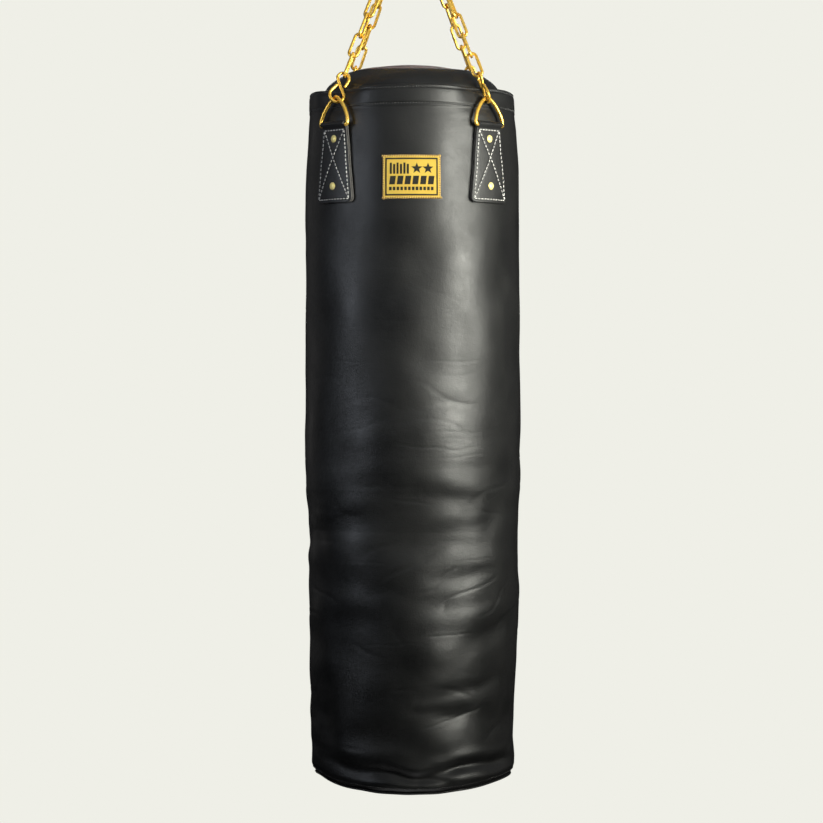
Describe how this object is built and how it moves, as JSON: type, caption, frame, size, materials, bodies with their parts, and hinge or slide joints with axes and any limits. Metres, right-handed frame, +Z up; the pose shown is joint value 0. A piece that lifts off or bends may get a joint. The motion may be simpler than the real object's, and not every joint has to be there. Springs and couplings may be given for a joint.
{
  "type": "hanging heavy punching bag",
  "caption": "Long cylindrical leather heavy bag with a domed zipped top, hung on chains, S-hooks and D-ring straps from a swivel plate and snap hook.",
  "frame": {"origin": "inside the crown of the snap hook, where it bears on the ceiling eye that carries the bag", "axes": "+Z up along the bag's axis, -Y towards the front of the bag with the label, +X to the right seen from the front"},
  "size_m": [0.355, 0.3554, 1.5382],
  "materials": {
    "shell_leather": "satin black finished leather",
    "strap_leather": "fine-grained black leather",
    "gold_plated_steel": "bright gold plating",
    "hanger_steel": "bright zinc plating",
    "padding": "grey padding",
    "textile_filling": "compacted textile scraps",
    "woven_label": "woven yellow patch",
    "zip_tape": "black woven tape with moulded teeth"
  },
  "bodies": {
    "hook": {"hook_body": "hanger_steel"},
    "gate": {"hook_gate": "hanger_steel"},
    "ring": {"top_ring": "hanger_steel"},
    "eye": {"swivel_eye": "hanger_steel", "swivel_nut": "hanger_steel"},
    "bag": {"swivel_plate": "hanger_steel", "chain_front_left_link_1": "gold_plated_steel", "chain_front_left_link_2": "gold_plated_steel", "chain_front_left_link_3": "gold_plated_steel", "chain_front_left_link_4": "gold_plated_steel", "chain_front_left_link_5": "gold_plated_steel", "chain_front_left_link_6": "gold_plated_steel", "chain_front_left_link_7": "gold_plated_steel", "chain_front_right_link_1": "gold_plated_steel", "chain_front_right_link_2": "gold_plated_steel", "chain_front_right_link_3": "gold_plated_steel", "chain_front_right_link_4": "gold_plated_steel", "chain_front_right_link_5": "gold_plated_steel", "chain_front_right_link_6": "gold_plated_steel", "chain_front_right_link_7": "gold_plated_steel", "chain_back_right_link_1": "gold_plated_steel", "chain_back_right_link_2": "gold_plated_steel", "chain_back_right_link_3": "gold_plated_steel", "chain_back_right_link_4": "gold_plated_steel", "chain_back_right_link_5": "gold_plated_steel", "chain_back_right_link_6": "gold_plated_steel", "chain_back_right_link_7": "gold_plated_steel", "chain_back_left_link_1": "gold_plated_steel", "chain_back_left_link_2": "gold_plated_steel", "chain_back_left_link_3": "gold_plated_steel", "chain_back_left_link_4": "gold_plated_steel", "chain_back_left_link_5": "gold_plated_steel", "chain_back_left_link_6": "gold_plated_steel", "chain_back_left_link_7": "gold_plated_steel", "s_hook_front_left": "gold_plated_steel", "s_hook_front_right": "gold_plated_steel", "s_hook_back_right": "gold_plated_steel", "s_hook_back_left": "gold_plated_steel", "d_ring_front_left": "gold_plated_steel", "d_ring_front_right": "gold_plated_steel", "d_ring_back_right": "gold_plated_steel", "d_ring_back_left": "gold_plated_steel", "strap_front_left": "strap_leather", "strap_front_right": "strap_leather", "strap_back_right": "strap_leather", "strap_back_left": "strap_leather", "rivets_front_left": "gold_plated_steel", "rivets_front_right": "gold_plated_steel", "rivets_back_right": "gold_plated_steel", "rivets_back_left": "gold_plated_steel", "bag_shell": "shell_leather", "collar_band": "strap_leather", "top_cover": "shell_leather", "foam_sleeve": "padding", "filling": "textile_filling", "bottom_panel": "shell_leather", "label_patch": "woven_label", "zip_strip": "zip_tape"},
    "slider": {"zip_slider": "gold_plated_steel"},
    "pull": {"zip_pull": "gold_plated_steel"}
  },
  "joints": [
    {"name": "gate_pivot", "type": "hinge", "parent": "hook", "child": "gate", "pos_m": [0.015, 0, -0.044], "axis": [0, -1, 0], "range_deg": [0, 26], "stiffness_Nm_per_rad": 0.06, "springref_deg": -20.05},
    {"name": "ring_swing", "type": "hinge", "parent": "hook", "child": "ring", "pos_m": [0, 0, -0.068], "axis": [1, 0, 0], "range_deg": [-45, 45]},
    {"name": "bag_swing", "type": "hinge", "parent": "ring", "child": "eye", "pos_m": [0, 0, -0.0899], "axis": [0, 1, 0], "range_deg": [-45, 45]},
    {"name": "swivel_spin", "type": "hinge", "parent": "eye", "child": "bag", "pos_m": [0, 0, -0.1149], "axis": [0, 0, 1], "continuous": true},
    {"name": "zip_slide", "type": "hinge", "parent": "bag", "child": "slider", "pos_m": [0, 0.01597, -0.84348], "axis": [0, 0.9984, -0.0558], "range_deg": [0, 14.54]},
    {"name": "pull_flip", "type": "hinge", "parent": "slider", "child": "pull", "pos_m": [-0.06696, 0.04526, -0.31956], "axis": [0, -0.9984, 0.0558], "range_deg": [0, 165]}
  ]
}
